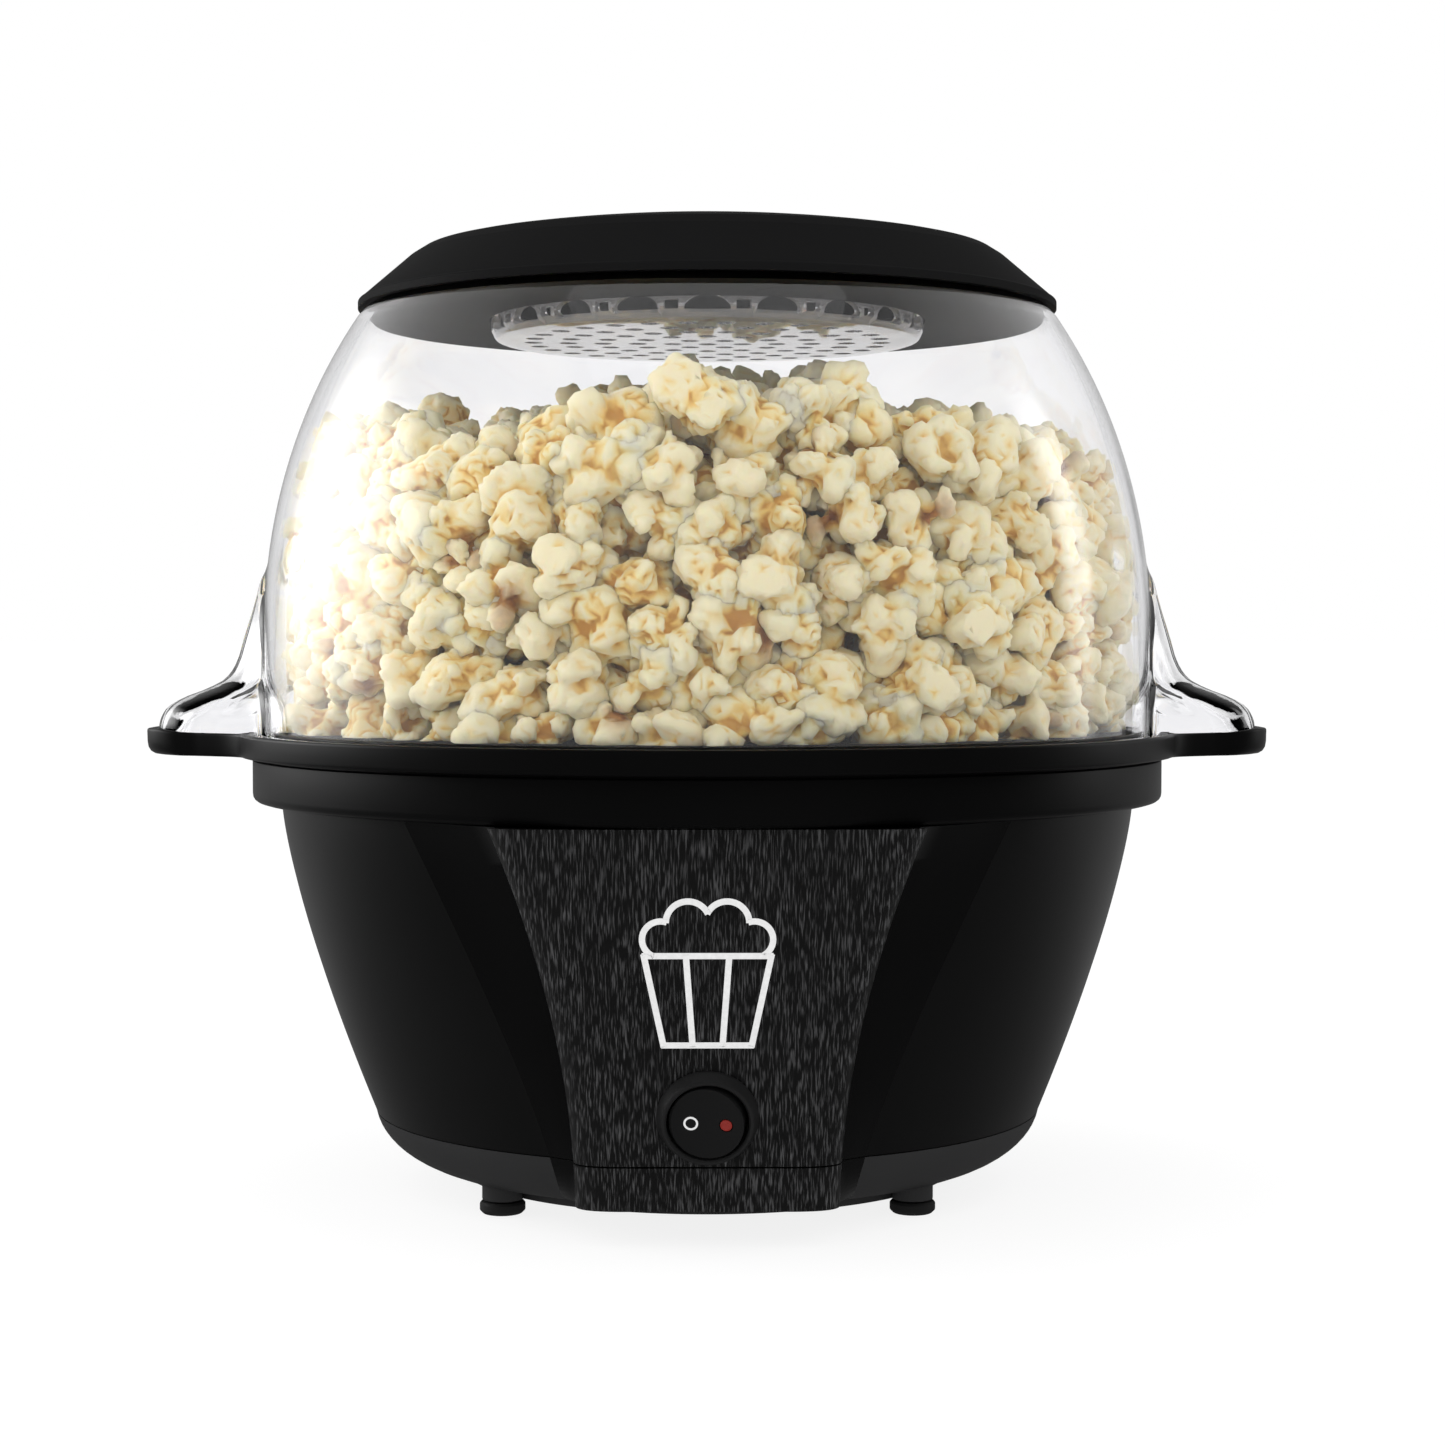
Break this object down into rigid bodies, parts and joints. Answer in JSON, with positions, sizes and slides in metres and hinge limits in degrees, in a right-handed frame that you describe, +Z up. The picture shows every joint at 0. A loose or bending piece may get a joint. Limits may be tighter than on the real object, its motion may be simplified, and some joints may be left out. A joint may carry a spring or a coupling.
{
  "type": "popcorn maker",
  "caption": "Round black table-top stirring popcorn maker with a clear dome, butter well, cap and front rocker switch.",
  "frame": {"origin": "on the table, under the centre of the base", "axes": "+Z up, +X to the right along the two ears, -Y out of the front panel"},
  "size_m": [0.3048, 0.254, 0.2603],
  "materials": {
    "black_gloss_plastic": "satin black moulded plastic",
    "black_matte_plastic": "matte black moulded plastic",
    "cap_matte_plastic": "matte black moulded plastic",
    "brushed_black_metal": "brushed black, grain upright",
    "clear_plastic": "clear polished polycarbonate",
    "clear_grey_plastic": "clear grey polycarbonate",
    "rubber": "matte",
    "non_stick": "speckled non-stick coating",
    "steel": "drawn",
    "aluminium": "mill",
    "nylon": "natural nylon",
    "brass": "turned",
    "red_plastic": "gloss"
  },
  "bodies": {
    "base": {"base_housing": "black_gloss_plastic", "base_collar": "black_gloss_plastic", "bottom_pan": "black_matte_plastic", "front_panel": "brushed_black_metal", "front_panel_lower": "brushed_black_metal", "foot_pad_1": "rubber", "foot_pad_2": "rubber", "foot_pad_3": "rubber", "foot_pad_4": "rubber", "pan_screw_1": "steel", "pan_screw_2": "steel", "pan_screw_3": "steel", "pan_screw_4": "steel", "popping_plate": "non_stick", "heating_element": "steel", "thermostat": "aluminium", "thermal_fuse": "aluminium", "heat_shield": "aluminium", "plate_standoff_1": "steel", "plate_standoff_2": "steel", "plate_standoff_3": "steel", "standoff_screw_1": "steel", "standoff_screw_2": "steel", "standoff_screw_3": "steel", "shield_screw_1": "steel", "shield_screw_2": "steel", "shield_screw_3": "steel", "gear_case": "nylon", "gear_cover": "nylon", "gear_case_screw_1": "steel", "gear_case_screw_2": "steel", "gear_case_screw_3": "steel", "motor": "steel", "shaft_bush": "brass", "switch_bezel": "black_matte_plastic", "switch_body": "black_matte_plastic", "cord_gland": "rubber", "terminal_block": "nylon"},
    "stirrer": {"drive_gear": "nylon", "drive_shaft": "steel", "shaft_clip": "steel", "stir_hub": "black_matte_plastic", "stir_rod": "steel"},
    "pinion": {"motor_pinion": "brass"},
    "rocker": {"switch_rocker": "black_matte_plastic", "indicator_dot": "red_plastic"},
    "dome": {"dome": "clear_plastic", "butter_well": "clear_grey_plastic"},
    "cap": {"cap": "cap_matte_plastic"}
  },
  "joints": [
    {"name": "stir_spin", "type": "hinge", "parent": "base", "child": "stirrer", "pos_m": [0, 0, 0.075], "axis": [0, 0, 1], "continuous": true},
    {"name": "pinion_spin", "type": "hinge", "parent": "base", "child": "pinion", "pos_m": [0, 0.03, 0.075], "axis": [0, 0, 1], "continuous": true},
    {"name": "rocker_tilt", "type": "hinge", "parent": "base", "child": "rocker", "pos_m": [0, -0.10148, 0.03356], "axis": [0, -0.2922, 0.9564], "range_deg": [0, 16]},
    {"name": "dome_lift", "type": "slide", "parent": "base", "child": "dome", "axis": [0, 0, 1], "range_m": [0, 0.13]},
    {"name": "cap_lift", "type": "slide", "parent": "dome", "child": "cap", "axis": [0, 0, 1], "range_m": [0, 0.05]}
  ],
  "couplings": [
    {"joint": "pinion_spin", "follows": "stir_spin", "ratio": -4}
  ]
}
